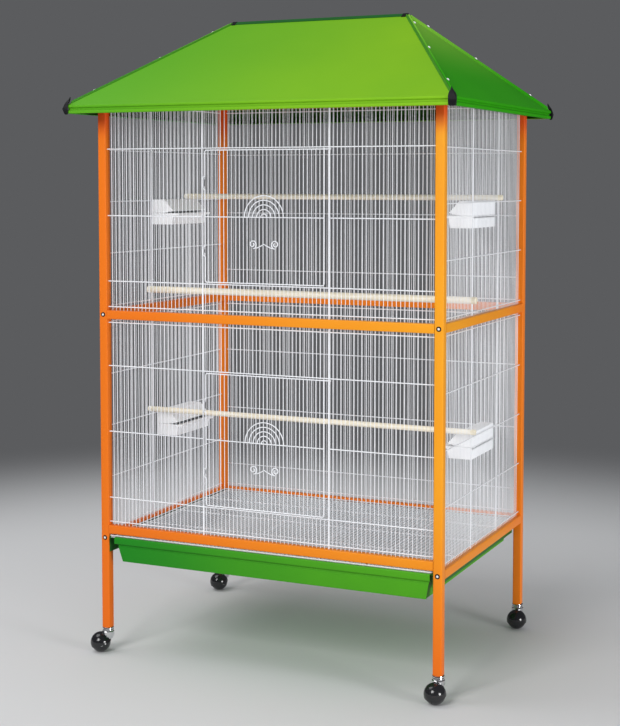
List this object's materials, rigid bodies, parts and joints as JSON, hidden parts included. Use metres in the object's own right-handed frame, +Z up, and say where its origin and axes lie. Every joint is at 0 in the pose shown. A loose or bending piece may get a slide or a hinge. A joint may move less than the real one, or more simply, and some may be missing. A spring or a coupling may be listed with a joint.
{
  "type": "parrot cage",
  "caption": "Tall two-tier wire parrot cage on ball casters, with a hipped sheet roof, hinged wire doors, a slide-out grate and tray, wooden perches and hooded feeders.",
  "frame": {"origin": "on the floor, under the centre of the cage and of its roof", "axes": "+Z up, -Y out of the front with the doors, +X towards the side away from the door hinges"},
  "size_m": [1.0248, 0.8168, 1.6271],
  "materials": {
    "frame_paint": "glossy baked enamel",
    "wire_coating": "white powder coat",
    "roof_paint": "satin enamel on folded sheet",
    "ridge_paint": "satin enamel on folded sheet",
    "tray_paint": "satin enamel on folded sheet",
    "corner_plastic": "moulded",
    "runner_paint": "dark satin enamel on folded sheet",
    "feeder_plastic": "moulded",
    "perch_wood": "planed dowel",
    "caster_chrome": "polished",
    "caster_plastic": "moulded"
  },
  "bodies": {
    "cage": {"post_front_left": "frame_paint", "post_rear_left": "frame_paint", "post_front_right": "frame_paint", "post_rear_right": "frame_paint", "rail_front_top": "frame_paint", "rail_rear_top": "frame_paint", "rail_left_top": "frame_paint", "rail_right_top": "frame_paint", "rail_front_mid": "frame_paint", "rail_rear_mid": "frame_paint", "rail_left_mid": "frame_paint", "rail_right_mid": "frame_paint", "rail_front_bottom": "frame_paint", "rail_rear_bottom": "frame_paint", "rail_left_bottom": "frame_paint", "rail_right_bottom": "frame_paint", "panel_upper_front": "wire_coating", "panel_upper_rear": "wire_coating", "panel_upper_left": "wire_coating", "panel_upper_right": "wire_coating", "panel_lower_front": "wire_coating", "panel_lower_rear": "wire_coating", "panel_lower_left": "wire_coating", "panel_lower_right": "wire_coating", "roof_front": "roof_paint", "roof_rear": "roof_paint", "roof_left": "roof_paint", "roof_right": "roof_paint", "ridge_cap": "ridge_paint", "corner_cap_front_left": "corner_plastic", "corner_cap_rear_left": "corner_plastic", "corner_cap_front_right": "corner_plastic", "corner_cap_rear_right": "corner_plastic", "runner_left": "runner_paint", "runner_right": "runner_paint", "perch_upper_rear": "perch_wood", "perch_upper_front": "perch_wood", "perch_lower": "perch_wood", "caster_socket_front_left": "caster_chrome", "caster_socket_front_right": "caster_chrome", "caster_socket_rear_left": "caster_chrome", "caster_socket_rear_right": "caster_chrome"},
    "door_upper": {"door_upper": "wire_coating"},
    "door_lower": {"door_lower": "wire_coating"},
    "grate": {"grate": "wire_coating"},
    "tray": {"tray": "tray_paint"},
    "feeder_upper_left": {"feeder_upper_left": "feeder_plastic"},
    "feeder_upper_right": {"feeder_upper_right": "feeder_plastic"},
    "feeder_lower_left": {"feeder_lower_left": "feeder_plastic"},
    "feeder_lower_right": {"feeder_lower_right": "feeder_plastic"},
    "caster_front_left": {"caster_hood_front_left": "caster_plastic"},
    "ball_front_left": {"caster_ball_front_left": "caster_plastic"},
    "caster_front_right": {"caster_hood_front_right": "caster_plastic"},
    "ball_front_right": {"caster_ball_front_right": "caster_plastic"},
    "caster_rear_left": {"caster_hood_rear_left": "caster_plastic"},
    "ball_rear_left": {"caster_ball_rear_left": "caster_plastic"},
    "caster_rear_right": {"caster_hood_rear_right": "caster_plastic"},
    "ball_rear_right": {"caster_ball_rear_right": "caster_plastic"}
  },
  "joints": [
    {"name": "upper_door_hinge", "type": "hinge", "parent": "cage", "child": "door_upper", "pos_m": [-0.168, -0.3176, 1.12], "axis": [0, 0, -1], "range_deg": [0, 115]},
    {"name": "lower_door_hinge", "type": "hinge", "parent": "cage", "child": "door_lower", "pos_m": [-0.168, -0.3176, 0.572], "axis": [0, 0, -1], "range_deg": [0, 115]},
    {"name": "grate_slide", "type": "slide", "parent": "cage", "child": "grate", "axis": [0, -1, 0], "range_m": [0, 0.3]},
    {"name": "tray_slide", "type": "slide", "parent": "cage", "child": "tray", "axis": [0, -1, 0], "range_m": [0, 0.45]},
    {"name": "feeder_upper_left_lift", "type": "slide", "parent": "cage", "child": "feeder_upper_left", "axis": [0, 0, 1], "range_m": [0, 0.03]},
    {"name": "feeder_upper_right_lift", "type": "slide", "parent": "cage", "child": "feeder_upper_right", "axis": [0, 0, 1], "range_m": [0, 0.03]},
    {"name": "feeder_lower_left_lift", "type": "slide", "parent": "cage", "child": "feeder_lower_left", "axis": [0, 0, 1], "range_m": [0, 0.03]},
    {"name": "feeder_lower_right_lift", "type": "slide", "parent": "cage", "child": "feeder_lower_right", "axis": [0, 0, 1], "range_m": [0, 0.03]},
    {"name": "front_left_swivel", "type": "hinge", "parent": "cage", "child": "caster_front_left", "pos_m": [-0.449, -0.319, 0.055], "axis": [0, 0, 1], "continuous": true},
    {"name": "front_left_roll", "type": "hinge", "parent": "caster_front_left", "child": "ball_front_left", "pos_m": [-0.46456, -0.3299, 0.025], "axis": [-0.5736, 0.8192, 0], "continuous": true},
    {"name": "front_right_swivel", "type": "hinge", "parent": "cage", "child": "caster_front_right", "pos_m": [0.449, -0.319, 0.055], "axis": [0, 0, 1], "continuous": true},
    {"name": "front_right_roll", "type": "hinge", "parent": "caster_front_right", "child": "ball_front_right", "pos_m": [0.44734, -0.33793, 0.025], "axis": [-0.9962, 0.0872, 0], "continuous": true},
    {"name": "rear_left_swivel", "type": "hinge", "parent": "cage", "child": "caster_rear_left", "pos_m": [-0.449, 0.319, 0.055], "axis": [0, 0, 1], "continuous": true},
    {"name": "rear_left_roll", "type": "hinge", "parent": "caster_rear_left", "child": "ball_rear_left", "pos_m": [-0.4585, 0.30255, 0.025], "axis": [-0.866, 0.5, 0], "continuous": true},
    {"name": "rear_right_swivel", "type": "hinge", "parent": "cage", "child": "caster_rear_right", "pos_m": [0.449, 0.319, 0.055], "axis": [0, 0, 1], "continuous": true},
    {"name": "rear_right_roll", "type": "hinge", "parent": "caster_rear_right", "child": "ball_rear_right", "pos_m": [0.4523, 0.30029, 0.025], "axis": [-0.9848, -0.1736, 0], "continuous": true}
  ]
}
